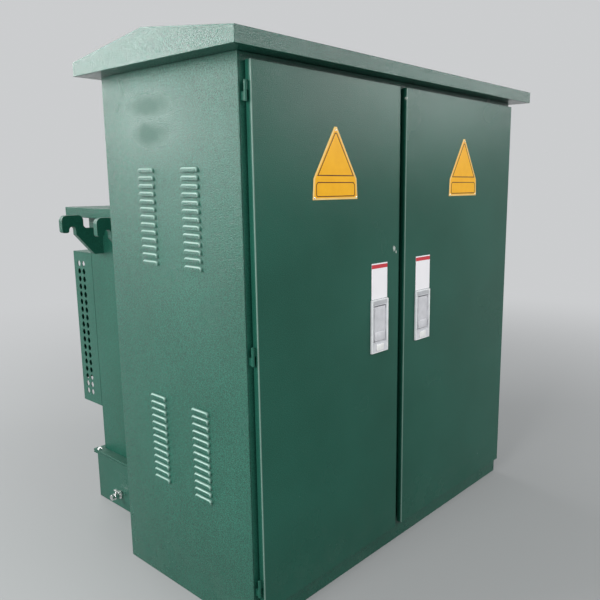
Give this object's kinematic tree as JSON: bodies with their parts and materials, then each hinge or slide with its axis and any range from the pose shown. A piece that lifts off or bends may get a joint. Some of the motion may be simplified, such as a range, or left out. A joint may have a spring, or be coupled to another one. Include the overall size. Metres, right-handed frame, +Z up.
{
  "type": "pad-mounted power transformer",
  "caption": "Outdoor pad-mounted power transformer: louvred steel cabinet with hinged doors and a gabled roof, in front of an oil tank with lifting hooks and guarded cooling fins.",
  "frame": {"origin": "centre of the bounding box's bottom, on the floor", "axes": "+Z up, -Y out through the two doors, +X to the right as one faces the doors"},
  "size_m": [1.74, 1.49, 1.9],
  "materials": {
    "green_paint": "semi-gloss, hammered",
    "inside_paint": "satin",
    "zinc_grey": "satin",
    "bright_metal": "bright",
    "black_rubber": "matt",
    "terminal_metal": "dull"
  },
  "bodies": {
    "cabinet_and_tank": {"cabinet_frame": "green_paint", "side_wall_left": "green_paint", "side_wall_right": "green_paint", "back_panel": "green_paint", "barrier": "inside_paint", "roof": "green_paint", "tank": "green_paint", "tank_lid": "green_paint", "tank_base": "green_paint", "base_flange": "green_paint", "base_gasket": "black_rubber", "tank_flange": "green_paint", "lifting_hook_left_front": "green_paint", "lifting_hook_left_rear": "green_paint", "lifting_hook_right_front": "green_paint", "lifting_hook_right_rear": "green_paint", "radiator_fins": "green_paint", "fin_tie_lower": "green_paint", "fin_tie_upper": "green_paint", "guard_left": "green_paint", "guard_right": "green_paint", "guard_top": "green_paint", "guard_cover": "green_paint", "drain_valve": "bright_metal", "hv_bushing_1": "black_rubber", "hv_bushing_2": "black_rubber", "hv_bushing_3": "black_rubber", "lv_bushing_1": "terminal_metal", "lv_bushing_2": "terminal_metal", "lv_bushing_3": "terminal_metal", "lv_bushing_4": "terminal_metal", "hinge_left_1": "green_paint", "hinge_left_2": "green_paint", "hinge_left_3": "green_paint", "hinge_right_1": "green_paint", "hinge_right_2": "green_paint", "hinge_right_3": "green_paint"},
    "left_door": {"door_left": "green_paint", "lock_left": "zinc_grey"},
    "right_door": {"door_right": "green_paint", "lock_right": "zinc_grey"},
    "left_lever": {"handle_left": "zinc_grey"},
    "right_lever": {"handle_right": "zinc_grey"}
  },
  "joints": [
    {"name": "left_door_hinge", "type": "hinge", "parent": "cabinet_and_tank", "child": "left_door", "pos_m": [-0.7885, -0.6885, 0.9285], "axis": [0, 0, -1], "range_deg": [0, 120]},
    {"name": "right_door_hinge", "type": "hinge", "parent": "cabinet_and_tank", "child": "right_door", "pos_m": [0.7885, -0.6885, 0.9285], "axis": [0, 0, 1], "range_deg": [0, 120]},
    {"name": "left_lever_hinge", "type": "hinge", "parent": "left_door", "child": "left_lever", "pos_m": [-0.1965, -0.701, 0.994], "axis": [-1, 0, 0], "range_deg": [0, 40]},
    {"name": "right_lever_hinge", "type": "hinge", "parent": "right_door", "child": "right_lever", "pos_m": [0.079, -0.701, 0.994], "axis": [-1, 0, 0], "range_deg": [0, 40]}
  ]
}
